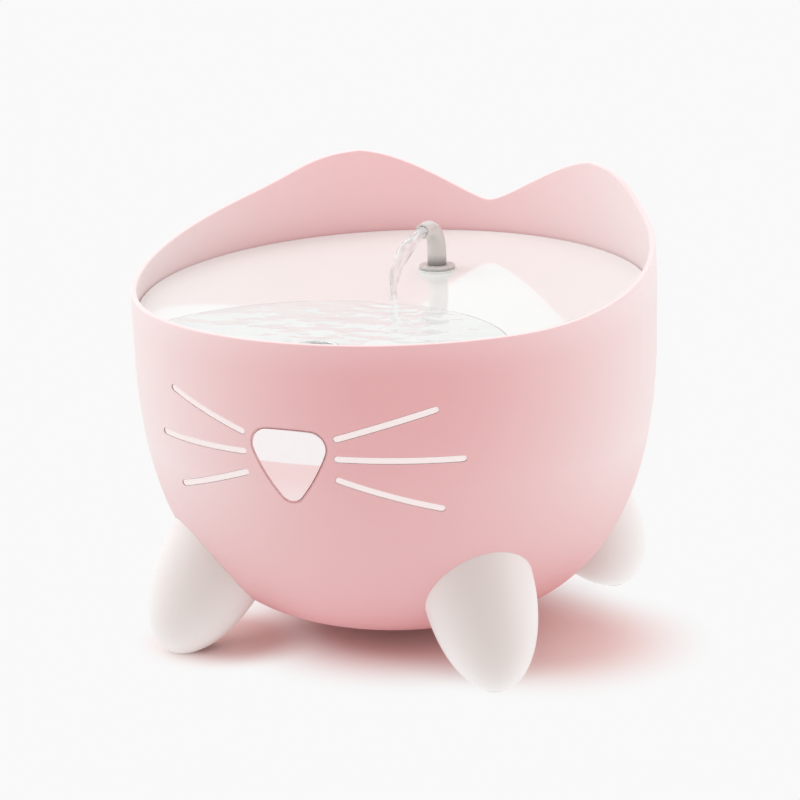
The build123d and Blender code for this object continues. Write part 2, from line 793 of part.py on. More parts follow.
with BuildPart() as filter_oring:
    with Locations((0, -filter_offset, oring_height)):
        Torus(basket_radius + oring_radius - oring_bite, oring_radius)
    with BuildSketch(Plane.XY.offset(oring_height - oring_radius)):
        with Locations((0, -filter_offset)):
            Circle(basket_radius + lift_gap - turn_gap)
    extrude(amount=2 * oring_radius, mode=Mode.INTERSECT)
write(filter_oring.part, "filter_oring")

write(filter_disc(foam_bottom, foam_thick, pack_radius - turn_gap), "filter_foam")
write(filter_disc(carbon_bottom, carbon_thick, pack_radius - turn_gap), "filter_carbon")
lid_plate = filter_disc(lid_bottom, lid_thick, pack_radius - snug_gap)
lid_knob = filter_disc(lid_bottom + lid_thick, lid_knob_height, lid_knob_radius)

with BuildPart() as filter_lid:
    add(lid_plate)
    add(lid_holes, mode=Mode.SUBTRACT)
    add(lid_knob)
write(filter_lid.part, "filter_lid")


# ---- pump ------------------------------------------------------------------------------------
def shaft_plane(y):
    """A plane across the pump's shaft; its normal points to the rear."""
    return Plane(origin=(0, y, shaft_height), x_dir=(-1, 0, 0), z_dir=(0, 1, 0))


def round_bar(start, end, radius, bore=0.0):
    """A round piece along the pump's shaft, with a bore if one is given."""
    with BuildPart() as bar:
        with BuildSketch(shaft_plane(start)):
            Circle(radius)
            if bore:
                Circle(bore, mode=Mode.SUBTRACT)
        extrude(amount=end - start)
    return bar.part


well_front = pump_rear - well_depth
chamber_inner = chamber_radius - chamber_wall
case_middle = (pump_front + pump_rear) / 2
well_sleeve = round_bar(well_front - well_wall, pump_rear, well_radius + well_wall)
well_hollow = round_bar(well_front, pump_rear, well_radius)
chamber = round_bar(pump_rear - pump_wall, chamber_rear, chamber_radius)
chamber_hollow = round_bar(pump_rear, chamber_rear + overcut, chamber_inner)

with BuildPart() as case_hollow:
    with BuildSketch(Plane.XY.offset(pump_bottom + pump_wall)):
        with Locations((0, case_middle - pump_wall)):
            RectangleRounded(pump_width - 2 * pump_wall, pump_case_length, pump_corner - pump_wall)
    extrude(amount=pump_height - 2 * pump_wall)

with BuildPart() as motor_cap:
    with BuildSketch(Plane.XZ.offset(-pump_front)):
        with Locations((0, (pump_bottom + pump_top) / 2)):
            RectangleRounded(pump_width - 2 * pump_wall - 2 * snug_gap,
                             pump_height - 2 * pump_wall - 2 * snug_gap, pump_wall)
    extrude(amount=-cap_thick)
    with Locations(Plane(origin=(0, pump_front, led_height), z_dir=(0, 1, 0))):
        Cylinder(led_radius + snug_gap, 4 * cap_thick, mode=Mode.SUBTRACT)
    with Locations(Plane(origin=(0, pump_front, gland_height), z_dir=(0, 1, 0))):
        Cylinder(gland_radius + snug_gap, 4 * cap_thick, mode=Mode.SUBTRACT)
write(motor_cap.part, "pump_motor_cap")

with BuildPart() as cap_seat:
    with BuildSketch(Plane.XZ.offset(-(pump_front - overcut))):
        with Locations((0, (pump_bottom + pump_top) / 2)):
            RectangleRounded(pump_width - 2 * pump_wall, pump_height - 2 * pump_wall, pump_wall)
    extrude(amount=-(overcut + pump_corner))

with BuildPart() as pump_housing:
    with BuildSketch(Plane.XY.offset(pump_bottom)):
        with Locations((0, case_middle)):
            RectangleRounded(pump_width, pump_case_length, pump_corner)
    extrude(amount=pump_height)
    add(case_hollow.part, mode=Mode.SUBTRACT)
    add(cap_seat.part, mode=Mode.SUBTRACT)
    add(well_sleeve)
    add(chamber)
    with BuildSketch(Plane.XY.offset(shaft_height)):
        with Locations((0, spout_offset)):
            Circle(riser_inner - snug_gap)
    extrude(amount=outlet_height - shaft_height)
    add(well_hollow, mode=Mode.SUBTRACT)
    add(chamber_hollow, mode=Mode.SUBTRACT)
    with BuildSketch(Plane.XY.offset(shaft_height)):
        with Locations((0, spout_offset)):
            Circle(riser_inner - snug_gap - outlet_wall)
    extrude(amount=outlet_height - shaft_height, mode=Mode.SUBTRACT)
    with GridLocations(cup_spacing_x, cup_spacing_y, 2, 2):
        with Locations((0, case_middle, pump_bottom)):
            Cylinder(cup_peg_radius + snug_gap, 2 * cup_peg_height, mode=Mode.SUBTRACT)
write(pump_housing.part, "pump_housing")

write(round_bar(well_front, chamber_rear - turn_gap, shaft_radius), "impeller_shaft")
write(round_bar(well_front, well_front + bush_length, bush_radius, shaft_radius + snug_gap), "rear_bush")
write(round_bar(chamber_rear - bush_length, chamber_rear, bush_radius, shaft_radius + snug_gap),
      "front_bush")

rotor_start = well_front + bush_length + turn_gap
rotor_end = chamber_rear - bush_length - turn_gap
hub_start = rotor_end - impeller_length
write(round_bar(rotor_start, hub_start, magnet_radius, shaft_radius + turn_gap), "rotor_magnet")

with BuildPart() as impeller:
    with BuildSketch(shaft_plane(hub_start)):
        Circle(impeller_hub_radius)
        with PolarLocations(impeller_radius / 2, blade_count):
            Rectangle(impeller_radius, blade_thick)
        Circle(shaft_radius + turn_gap, mode=Mode.SUBTRACT)
    extrude(amount=impeller_length)
write(impeller.part, "impeller")

core_start = pump_front + core_front_gap
core_bottom = pump_bottom + core_bottom_gap
with BuildPart() as stator_core:
    with BuildSketch(Plane.XZ.offset(-core_start)):
        with Locations((0, core_bottom)):
            Rectangle(2 * core_half_width, core_top - core_bottom, align=(Align.CENTER, Align.MIN))
        with Locations((0, core_bottom + core_yoke)):
            Rectangle(2 * core_pole_gap, core_top, align=(Align.CENTER, Align.MIN), mode=Mode.SUBTRACT)
            Rectangle(2 * (coil_half_width + snug_gap), coil_build + 2 * snug_gap,
                      align=(Align.CENTER, Align.MIN), mode=Mode.SUBTRACT)
        with Locations((0, shaft_height)):
            Circle(well_radius + well_wall + snug_gap, mode=Mode.SUBTRACT)
    extrude(amount=-core_length)
write(stator_core.part, "stator_core")

with BuildPart() as stator_coil:
    with BuildSketch(Plane.YZ.offset(-coil_half_width)):
        with Locations((core_start + core_length / 2, core_bottom + core_yoke / 2)):
            RectangleRounded(core_length + 2 * coil_build, core_yoke + 2 * coil_build, coil_build)
            Rectangle(core_length + 2 * snug_gap, core_yoke + 2 * snug_gap, mode=Mode.SUBTRACT)
    extrude(amount=2 * coil_half_width)
write(stator_coil.part, "stator_coil")


def inlet_openings(start, end):
    """Radial slots that let water into the chamber."""
    with BuildPart() as slots:
        with BuildSketch(shaft_plane(start)):
            with PolarLocations((inlet_slot_inner + inlet_slot_outer) / 2, inlet_slots):
                SlotOverall(inlet_slot_outer - inlet_slot_inner, inlet_slot_width)
        extrude(amount=end - start)
    return slots.part


spigot_radius = chamber_inner - snug_gap
spigot_start = chamber_rear - cover_spigot_length
dial_start = cover_rear + turn_gap
dial_end = dial_start + dial_thick
lip_start = dial_end + turn_gap
cover_spigot = round_bar(spigot_start, chamber_rear, spigot_radius, spigot_radius - cover_spigot_wall)
cover_plate = round_bar(chamber_rear, cover_rear, chamber_radius)
cover_hub_start = chamber_rear - bush_length
cover_hub = round_bar(cover_hub_start, lip_start, cover_hub_radius)
cover_hub_lip_ring = round_bar(lip_start, lip_start + cover_hub_lip_length, cover_hub_radius + cover_hub_lip)
bush_seat = round_bar(cover_hub_start, chamber_rear, bush_radius + snug_gap)
cover_slots = inlet_openings(chamber_rear, cover_rear)

with BuildPart() as pump_inlet_cover:
    add(cover_plate)
    add(cover_slots, mode=Mode.SUBTRACT)
    add(cover_spigot)
    add(cover_hub)
    add(cover_hub_lip_ring)
    add(bush_seat, mode=Mode.SUBTRACT)
write(pump_inlet_cover.part, "pump_inlet_cover")

dial_slots = inlet_openings(dial_start, dial_end)
with BuildPart() as flow_dial:
    with BuildSketch(shaft_plane(dial_start)):
        Circle(dial_radius)
        with Locations((0, dial_radius)):
            RectangleRounded(dial_tab, dial_tab, dial_tab / 4)
        Circle(cover_hub_radius + turn_gap, mode=Mode.SUBTRACT)
    extrude(amount=dial_thick)
    add(dial_slots, mode=Mode.SUBTRACT)
write(flow_dial.part, "flow_dial")

with BuildPart() as pump_led:
    with Locations(Plane(origin=(0, pump_front, led_height), z_dir=(0, 1, 0))):
        Cylinder(led_radius, cap_thick, align=(Align.CENTER, Align.CENTER, Align.MIN))
    with Locations((0, pump_front, led_height)):
        Sphere(led_radius)
write(pump_led.part, "pump_led")

with BuildPart() as pump_cable_gland:
    with Locations(Plane(origin=(0, pump_front + cap_thick, gland_height), z_dir=(0, -1, 0))):
        Cylinder(gland_radius, gland_length, align=(Align.CENTER, Align.CENTER, Align.MIN))
        Cylinder(gland_bore, 4 * gland_length, mode=Mode.SUBTRACT)
write(pump_cable_gland.part, "pump_cable_gland")

cup_foot = bottom_height + bowl_wall
with BuildPart() as cup_blank:
    with BuildSketch(Plane.XZ):
        with BuildLine():
            cup_peg_top = pump_bottom + cup_peg_height
            Polyline((0, cup_peg_top), (cup_peg_radius, cup_peg_top), (cup_peg_radius, pump_bottom),
                     (cup_stem_radius, pump_bottom), (cup_stem_radius, cup_foot + cup_height),
                     (cup_radius, cup_foot + overcut / 2), (cup_radius, bottom_height),
                     (cup_hollow_radius, bottom_height), (cup_hollow_radius, cup_foot),
                     (0, cup_foot + cup_hollow_height), close=True)
        make_face()
    revolve(axis=Axis.Z)

cup_places = {"front_left": (-1, -1), "front_right": (1, -1), "rear_left": (-1, 1), "rear_right": (1, 1)}
for corner, (across, along) in cup_places.items():
    cup_at = (across * cup_spacing_x / 2, case_middle + along * cup_spacing_y / 2, 0)
    with BuildPart() as suction_cup:
        with Locations(cup_at):
            add(cup_blank.part)
        add(inner_form, mode=Mode.INTERSECT)
    write(suction_cup.part, f"suction_cup_{corner}")
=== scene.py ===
import math
import bpy
import bmesh
from mathutils import Matrix, Vector, noise


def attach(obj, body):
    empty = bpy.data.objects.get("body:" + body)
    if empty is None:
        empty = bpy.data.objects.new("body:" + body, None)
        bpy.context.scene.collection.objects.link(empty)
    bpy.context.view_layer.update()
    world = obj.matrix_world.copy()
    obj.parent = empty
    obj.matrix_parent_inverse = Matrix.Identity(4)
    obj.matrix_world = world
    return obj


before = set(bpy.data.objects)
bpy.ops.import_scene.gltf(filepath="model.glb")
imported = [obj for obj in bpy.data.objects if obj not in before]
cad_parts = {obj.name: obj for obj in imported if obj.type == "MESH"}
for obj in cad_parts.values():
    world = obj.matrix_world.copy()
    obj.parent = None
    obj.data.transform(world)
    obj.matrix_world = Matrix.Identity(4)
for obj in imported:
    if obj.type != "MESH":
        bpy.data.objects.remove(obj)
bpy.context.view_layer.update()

# ---- Reservoir bowl ---------------------------------------------------------------------------
# One injection moulding in pink ABS, 2.4 mm thick, from a lightly spark-eroded mould. Its grain breaks
# up highlights, so the skin looks satin and soft, with no hard glints. The grain is drawn at 0.45 mm,
# several times coarser than it is, so that it shows at all.


def tint(code):
    """A colour written as sRGB hex, as Blender's linear red, green, blue and alpha."""
    parts = [int(code[i:i + 2], 16) / 255 for i in (0, 2, 4)]
    linear = [c / 12.92 if c <= 0.04045 else ((c + 0.055) / 1.055) ** 2.4 for c in parts]
    return (*linear, 1.0)


def add_node(tree, kind, settings=None, **inputs):
    """Adds one node; each input takes a number, a colour or another node's output."""
    made = tree.nodes.new(kind)
    for name, value in (settings or {}).items():
        setattr(made, name, value)
    for name, value in inputs.items():
        key = int(name[1:]) if name[0] == "i" and name[1:].isdigit() else name.replace("_", " ")
        if isinstance(value, bpy.types.NodeSocket):
            tree.links.new(value, made.inputs[key])
        else:
            made.inputs[key].default_value = value
    return made


def repeats(size_mm):
    """How many of a pattern, of a size in millimetres, fit into a metre."""
    return 1000.0 / size_mm


def fresh_finish(name):
    """An empty material with its output node ready."""
    finish = bpy.data.materials.new(name)
    finish.use_nodes = True
    finish.node_tree.nodes.clear()
    return finish, finish.node_tree, add_node(finish.node_tree, "ShaderNodeOutputMaterial")


ear_light_from, ear_light_to = 0.126, 0.150       # over this height the pink pales towards the ears: painted light on them
painted_sheen_rise = 0.06                        # height over which the painted edge-on sheen comes in
# the white of the painted sheen on skins seen edge-on
painted_sheen_white = "FEFBFA"


def grained_skin(name, colour, deep_colour, grain_mm, roughness, grain_height, soft=0.06, haze=0.0,
                 painted_sheen_low=-0.1, ear_light_colour=None):
    """A coloured body with drifting pigment and a fine grain; where it is seen edge-on its colour is mixed
    towards white, a painted sheen.
    """
    finish, tree, out = fresh_finish(name)
    place = add_node(tree, "ShaderNodeTexCoord").outputs["Object"]
    drift = add_node(tree, "ShaderNodeTexNoise", Vector=place, Scale=repeats(55.6), Detail=3.0)
    pigment = add_node(tree, "ShaderNodeMix", {"data_type": "RGBA"}, Factor=drift.outputs["Fac"],
                       i6=tint(colour), i7=tint(deep_colour))
    height = add_node(tree, "ShaderNodeSeparateXYZ", Vector=place).outputs["Z"]
    # Painted light: the colour pales towards the top, over the ears.
    if ear_light_colour:
        thin = add_node(tree, "ShaderNodeMapRange", {"interpolation_type": "SMOOTHSTEP"}, Value=height,
                        From_Min=ear_light_from, From_Max=ear_light_to)
        pigment = add_node(tree, "ShaderNodeMix", {"data_type": "RGBA"}, Factor=thin.outputs["Result"],
                           i6=pigment.outputs[2], i7=tint(ear_light_colour))
    # Painted sheen: the colour turns towards white where the surface is seen edge-on, only above a given
    # height, and the haze argument sets how strong it is.
    slant = add_node(tree, "ShaderNodeLayerWeight", Blend=0.75)
    sheen_by_height = add_node(tree, "ShaderNodeMapRange", Value=height, From_Min=painted_sheen_low,
                     From_Max=painted_sheen_low + painted_sheen_rise, To_Max=haze)
    painted_sheen = add_node(tree, "ShaderNodeMath", {"operation": "MULTIPLY"}, i0=slant.outputs["Facing"],
                    i1=sheen_by_height.outputs["Result"])
    pigment = add_node(tree, "ShaderNodeMix", {"data_type": "RGBA"}, Factor=painted_sheen.outputs["Value"],
                       i6=pigment.outputs[2], i7=tint(painted_sheen_white))
    grain = add_node(tree, "ShaderNodeTexNoise", Vector=place, Scale=repeats(grain_mm), Detail=2.0,
                     Roughness=0.6)
    rubbed = add_node(tree, "ShaderNodeTexNoise", Vector=place, Scale=repeats(18.2), Detail=4.0)
    worn = add_node(tree, "ShaderNodeMapRange", Value=rubbed.outputs["Fac"], From_Min=0.3, From_Max=0.7,
                    To_Min=roughness - 0.04, To_Max=roughness + 0.05)
    bump = add_node(tree, "ShaderNodeBump", Height=grain.outputs["Fac"], Strength=0.5,
                    Distance=grain_height)
    skin = add_node(tree, "ShaderNodeBsdfPrincipled", Base_Color=pigment.outputs[2],
                    Roughness=worn.outputs["Result"], Normal=bump.outputs["Normal"], IOR=1.52,
                    Subsurface_Weight=soft, Subsurface_Scale=0.002)
    skin.inputs["Subsurface Radius"].default_value = (1.0, 0.55, 0.5)
    tree.links.new(skin.outputs["BSDF"], out.inputs["Surface"])
    return finish


def dress(finish, *names):
    """Gives CAD nodes a finish."""
    for name in names:
        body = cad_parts[name].data
        body.materials.clear()
        body.materials.append(finish)


# Where the pink skin is seen edge-on it pales; this is a painted sheen.
pink_abs = grained_skin("pink_abs_moulded", "ECADAF", "E7A5A8", 0.45, 0.46, 0.00002, haze=0.7,
                        painted_sheen_low=0.022, ear_light_colour="F3C4C7")
dress(pink_abs, "reservoir_bowl")

# ---- Feet, their screws and rubber pads ---------------------------------------------------------
# Four hollow cones moulded in warm white ABS with the same satin skin, each held by one steel screw
# from below. A soft rubber disc pressed into each tip is what stands on the floor.
# Where the feet's skin is seen edge-on it whitens; this is a painted sheen.
chalk_abs = grained_skin("warm_white_abs_moulded", "E3D9D5", "DED2CE", 0.45, 0.42, 0.00002, haze=0.9)
dress(chalk_abs, "foot_front_left", "foot_front_right", "foot_rear_left", "foot_rear_right")


def soft_rubber(name, colour, roughness):
    """Moulded rubber: matt, with a faint powdery bloom on its skin."""
    finish, tree, out = fresh_finish(name)
    place = add_node(tree, "ShaderNodeTexCoord").outputs["Object"]
    bloom = add_node(tree, "ShaderNodeTexNoise", Vector=place, Scale=repeats(4.55), Detail=5.0)
    lighter = tuple(min(1.0, part * 1.25) for part in tint(colour))
    shade = add_node(tree, "ShaderNodeMix", {"data_type": "RGBA"}, Factor=bloom.outputs["Fac"],
                     i6=tint(colour), i7=lighter)
    pores = add_node(tree, "ShaderNodeTexNoise", Vector=place, Scale=repeats(0.385))
    bump = add_node(tree, "ShaderNodeBump", Height=pores.outputs["Fac"], Strength=0.4, Distance=0.00003)
    skin = add_node(tree, "ShaderNodeBsdfPrincipled", Base_Color=shade.outputs[2], Roughness=roughness,
                    Normal=bump.outputs["Normal"], IOR=1.5)
    tree.links.new(skin.outputs["BSDF"], out.inputs["Surface"])
    return finish


pale_rubber = soft_rubber("pale_silicone_rubber", "D6CDC8", 0.7)
dress(pale_rubber, "foot_pad_front_left", "foot_pad_front_right", "foot_pad_rear_left",
      "foot_pad_rear_right")
grey_rubber = soft_rubber("grey_nitrile_rubber", "8E8A89", 0.75)


def plain_metal(name, colour, roughness, streak_mm, streak_axis):
    """Metal with fine drawn lines across one axis."""
    finish, tree, out = fresh_finish(name)
    place = add_node(tree, "ShaderNodeTexCoord").outputs["Object"]
    stretch = [repeats(streak_mm)] * 3
    stretch[streak_axis] = repeats(25.0)
    lined = add_node(tree, "ShaderNodeMapping", Vector=place, Scale=tuple(stretch))
    lines = add_node(tree, "ShaderNodeTexNoise", Vector=lined.outputs["Vector"], Scale=1.0, Detail=2.0)
    rough = add_node(tree, "ShaderNodeMapRange", Value=lines.outputs["Fac"], To_Min=roughness - 0.08,
                     To_Max=roughness + 0.1)
    bump = add_node(tree, "ShaderNodeBump", Height=lines.outputs["Fac"], Strength=0.3, Distance=0.00002)
    skin = add_node(tree, "ShaderNodeBsdfPrincipled", Base_Color=tint(colour), Metallic=1.0,
                    Roughness=rough.outputs["Result"], Normal=bump.outputs["Normal"])
    tree.links.new(skin.outputs["BSDF"], out.inputs["Surface"])
    return finish


zinc_steel = plain_metal("zinc_plated_steel", "C6C7CA", 0.32, 0.2, 2)
dress(zinc_steel, "foot_screws")

# ---- Nose: lens, gasket and retainer ------------------------------------------------------------
# A polished acrylic lens in pale pearl pink that sits in a window of the front wall. A rubber gasket
# seals it from inside and a plain frame clamps its flange. The mica in it mirrors half of the light.
nose_reflection_edge = 0.0935             # height of the lower edge of the painted reflection on the lens
reflection_shade_fade = 0.022              # the painted shade under that edge thins out over this much


def polished_pearl(name, colour, deep_colour, roughness, mica_share, line=0.0):
    """Polished acrylic with fine mica under a clear hard gloss; a painted reflection makes it paler above
    a line, with painted shade below.
    """
    finish, tree, out = fresh_finish(name)
    place = add_node(tree, "ShaderNodeTexCoord").outputs["Object"]
    mica = add_node(tree, "ShaderNodeTexNoise", Vector=place, Scale=repeats(1.11), Detail=2.0)
    height = add_node(tree, "ShaderNodeSeparateXYZ", Vector=place).outputs["Z"]
    # Painted reflection: the lens is paler above the line and deeper pink just under it. That painted
    # shade thins out lower down.
    below = add_node(tree, "ShaderNodeMapRange", {"interpolation_type": "SMOOTHSTEP"}, Value=height,
                     From_Min=line + 0.0006, From_Max=line - 0.0002)
    shade_under_reflection = add_node(tree, "ShaderNodeMapRange", Value=height, From_Min=line - reflection_shade_fade, From_Max=line,
                       To_Min=0.25, To_Max=1.15)
    depth = add_node(tree, "ShaderNodeMath", {"operation": "MULTIPLY"}, i0=below.outputs["Result"],
                     i1=shade_under_reflection.outputs["Result"])
    spread = add_node(tree, "ShaderNodeMath", {"operation": "MULTIPLY_ADD"}, i0=mica.outputs["Fac"],
                      i1=0.15, i2=depth.outputs["Value"])
    body = add_node(tree, "ShaderNodeMix", {"data_type": "RGBA"}, Factor=spread.outputs["Value"],
                    i6=tint(colour), i7=tint(deep_colour))
    ripple = add_node(tree, "ShaderNodeTexNoise", Vector=place, Scale=repeats(16.7))
    bump = add_node(tree, "ShaderNodeBump", Height=ripple.outputs["Fac"], Strength=0.15,
                    Distance=0.0002)
    skin = add_node(tree, "ShaderNodeBsdfPrincipled", Base_Color=body.outputs[2], Roughness=roughness,
                    Normal=bump.outputs["Normal"], IOR=1.49, Coat_Weight=1.0, Coat_Roughness=0.03,
                    Metallic=mica_share)
    tree.links.new(skin.outputs["BSDF"], out.inputs["Surface"])
    return finish


# The lens's upper part is a painted reflection of a bright lamp, with painted shade under its level edge.
pearl_acrylic = polished_pearl("pearl_pink_acrylic", "FFFAFB", "FADBDB", 0.12, 0.5, nose_reflection_edge)
dress(pearl_acrylic, "nose_lens")
dress(grey_rubber, "nose_gasket")
chalk_pp = grained_skin("white_polypropylene_moulded", "E6EAEC", "DDE2E5", 0.5, 0.5, 0.00002, 0.12)
dress(chalk_pp, "nose_retainer")

# ---- Whiskers -----------------------------------------------------------------------------------
# Six strips of the same pearl acrylic, a little warmer, pressed into grooves of the front wall.
# They lie just under the wall's surface, so each has a thin shadow line round it.
pearl_strip = polished_pearl("pearl_whisker_acrylic", "FFF3F1", "FFEAE7", 0.16, 0.5)
dress(pearl_strip, "whisker_left_upper", "whisker_left_middle", "whisker_left_lower",
      "whisker_right_upper", "whisker_right_middle", "whisker_right_lower")

# ---- Cable grommet ------------------------------------------------------------------------------
# A grey rubber bush snapped into the rear wall, where the pump's lead would leave.
dress(grey_rubber, "cable_grommet")

# ---- Pump: case, cap, cover, dial and suction cups ----------------------------------------------
# A small submersible pump in charcoal ABS that stands on four silicone suction cups. Its cap is
# potted from the front, its grille and flow dial face the rear, and a clear dome covers its light.
charcoal_abs = grained_skin("charcoal_abs_moulded", "3A3B3E", "323336", 0.5, 0.5, 0.00004, 0.0)
dress(charcoal_abs, "pump_housing", "pump_motor_cap", "pump_inlet_cover", "impeller")
dial_abs = grained_skin("light_grey_abs_moulded", "C9CBCC", "BFC2C4", 0.5, 0.5, 0.00003)
dress(dial_abs, "flow_dial")
dress(grey_rubber, "pump_cable_gland", "front_bush", "rear_bush")


def milky_silicone(name, colour, through):
    """Platinum-cured silicone: milky, slightly see-through and a little slick."""
    finish, tree, out = fresh_finish(name)
    place = add_node(tree, "ShaderNodeTexCoord").outputs["Object"]
    haze = add_node(tree, "ShaderNodeTexNoise", Vector=place, Scale=repeats(6.67), Detail=3.0)
    rough = add_node(tree, "ShaderNodeMapRange", Value=haze.outputs["Fac"], To_Min=0.28, To_Max=0.42)
    skin = add_node(tree, "ShaderNodeBsdfPrincipled", Base_Color=tint(colour),
                    Roughness=rough.outputs["Result"], IOR=1.41, Transmission_Weight=through)
    tree.links.new(skin.outputs["BSDF"], out.inputs["Surface"])
    return finish


clear_silicone = milky_silicone("milky_silicone", "F1F1EE", 0.35)
dress(clear_silicone, "suction_cup_front_left", "suction_cup_front_right", "suction_cup_rear_left",
      "suction_cup_rear_right", "riser_tube", "spout_seal", "filter_oring")


def clear_dome(name, colour):
    """A clear polycarbonate dome, faintly blue from the chip below it."""
    finish, tree, out = fresh_finish(name)
    place = add_node(tree, "ShaderNodeTexCoord").outputs["Object"]
    cloud = add_node(tree, "ShaderNodeTexNoise", Vector=place, Scale=repeats(2.5))
    rough = add_node(tree, "ShaderNodeMapRange", Value=cloud.outputs["Fac"], To_Min=0.03, To_Max=0.1)
    skin = add_node(tree, "ShaderNodeBsdfPrincipled", Base_Color=tint(colour),
                    Roughness=rough.outputs["Result"], IOR=1.58, Transmission_Weight=0.7)
    tree.links.new(skin.outputs["BSDF"], out.inputs["Surface"])
    return finish


dress(clear_dome("clear_polycarbonate_dome", "DCEBFA"), "pump_led")

# ---- Pump: stator, shaft and magnet -------------------------------------------------------------
# A stack of 0.5 mm electrical steel sheets carries one coil of enamelled copper wire. The rotor is
# a sintered ferrite magnet that spins on a white ceramic shaft.


def stacked_sheets(name, colour, seam_colour, sheet_mm, axis, metallic, roughness):
    """Thin layers side by side, such as laminations or turns of wire, with a dark line between."""
    finish, tree, out = fresh_finish(name)
    place = add_node(tree, "ShaderNodeTexCoord").outputs["Object"]
    layers = add_node(tree, "ShaderNodeTexWave", {"bands_direction": axis}, Vector=place,
                      Scale=math.pi / 10 * repeats(sheet_mm), Distortion=0.1, Detail=1.0)
    edge = add_node(tree, "ShaderNodeMapRange", Value=layers.outputs["Fac"], From_Min=0.0, From_Max=0.35)
    shade = add_node(tree, "ShaderNodeMix", {"data_type": "RGBA"}, Factor=edge.outputs["Result"],
                     i6=tint(seam_colour), i7=tint(colour))
    bump = add_node(tree, "ShaderNodeBump", Height=layers.outputs["Fac"], Strength=0.8, Distance=0.0001)
    skin = add_node(tree, "ShaderNodeBsdfPrincipled", Base_Color=shade.outputs[2], Metallic=metallic,
                    Roughness=roughness, Normal=bump.outputs["Normal"])
    tree.links.new(skin.outputs["BSDF"], out.inputs["Surface"])
    return finish


dress(stacked_sheets("laminated_electrical_steel", "8C8E92", "3C3C40", 0.5, "Y", 1.0, 0.45),
      "stator_core")
dress(stacked_sheets("enamelled_copper_wire", "B5622F", "4E2410", 0.4, "X", 1.0, 0.3), "stator_coil")
dress(grained_skin("sintered_ferrite", "2F3033", "26272A", 0.3, 0.6, 0.00005, 0.0), "rotor_magnet")
dress(grained_skin("ground_white_ceramic", "F2EFEA", "EBE7E0", 0.3, 0.3, 0.00001), "impeller_shaft")

# ---- Filter: basket, lid and pads ---------------------------------------------------------------
# A white polypropylene basket pushed up under the tray. It holds an open-cell foam disc and a
# fleece pad filled with black carbon granules, under a perforated lid.
dress(chalk_pp, "filter_basket", "filter_lid")


def cell_pad(name, wall_colour, cell_colour, cell_mm, depth):
    """Open cells or packed granules, drawn as rounded cells of a real size."""
    finish, tree, out = fresh_finish(name)
    place = add_node(tree, "ShaderNodeTexCoord").outputs["Object"]
    cells = add_node(tree, "ShaderNodeTexVoronoi", Vector=place, Scale=repeats(cell_mm))
    spread = add_node(tree, "ShaderNodeMapRange", Value=cells.outputs["Distance"], From_Max=0.6)
    shade = add_node(tree, "ShaderNodeMix", {"data_type": "RGBA"}, Factor=spread.outputs["Result"],
                     i6=tint(cell_colour), i7=tint(wall_colour))
    bump = add_node(tree, "ShaderNodeBump", Height=cells.outputs["Distance"], Strength=0.9,
                    Distance=depth)
    skin = add_node(tree, "ShaderNodeBsdfPrincipled", Base_Color=shade.outputs[2], Roughness=0.9,
                    Normal=bump.outputs["Normal"], Sheen_Weight=0.2)
    tree.links.new(skin.outputs["BSDF"], out.inputs["Surface"])
    return finish


# The foam is painted darker at the middle of each cell, as painted shade in its open pores.
dress(cell_pad("open_cell_foam", "DDE5EC", "8FA0AF", 0.9, 0.0006), "filter_foam")
dress(cell_pad("carbon_granule_pad", "17181A", "3A3B3E", 1.4, 0.0008), "filter_carbon")

# ---- Drinking tray ------------------------------------------------------------------------------
# White ABS from a polished mould, so it mirrors the ears behind it. The gloss is a little uneven
# where cloths have wiped it.


def wiped_gloss(name, colour, deep_colour):
    """White high-gloss ABS with faint wiping haze."""
    finish, tree, out = fresh_finish(name)
    place = add_node(tree, "ShaderNodeTexCoord").outputs["Object"]
    cloud = add_node(tree, "ShaderNodeTexNoise", Vector=place, Scale=repeats(71.4), Detail=3.0)
    body = add_node(tree, "ShaderNodeMix", {"data_type": "RGBA"}, Factor=cloud.outputs["Fac"],
                    i6=tint(colour), i7=tint(deep_colour))
    haze = add_node(tree, "ShaderNodeTexNoise", Vector=place, Scale=repeats(14.3), Detail=4.0)
    rough = add_node(tree, "ShaderNodeMapRange", Value=haze.outputs["Fac"], From_Min=0.35, From_Max=0.75,
                     To_Min=0.04, To_Max=0.09)
    skin = add_node(tree, "ShaderNodeBsdfPrincipled", Base_Color=body.outputs[2],
                    Roughness=rough.outputs["Result"], IOR=1.54, Coat_Weight=0.6, Coat_Roughness=0.03)
    tree.links.new(skin.outputs["BSDF"], out.inputs["Surface"])
    return finish


dress(wiped_gloss("white_abs_high_gloss", "F0F2F0", "EDEFED"), "drinking_tray")

# ---- Water in the tray --------------------------------------------------------------------------
# A shallow pool that stands against the front of the sloping tray, with the rings that the jet
# makes and small crossing ripples. Clear water, a few millimetres deep; it moves with the tray.
water_level = 0.1328
film = 0.00006                          # the pool's bottom lies this far into the tray
tray_middle = 0.1330                    # the tray's floor at the bowl's axis
tray_slope = math.tan(math.radians(2.1))
dish_bend = 2.23                        # radius of the floor's dish
tray_edge = 0.0992                      # the pool ends here, just inside the tray's upright ring
drain_middle, drain_reach, drain_top = -0.0775, 0.0096, 0.13232
jet_foot = (0.0, -0.001)
ring_height, ring_pitch, ring_fade = 0.00025, 0.0012, 0.014
chop_height = 0.00030
coarse_chop, fine_chop = (80.0, 110.0), (190.0, 260.0)      # ripples to a metre, across and along
shore_calm = 9                          # they die out over the last ninth of the way to the shore
pool_middle = (0.0, -0.05)
pool_limit = 0.14                       # no shore is as far from the middle as this
pool_sectors, pool_rings = 192, 72


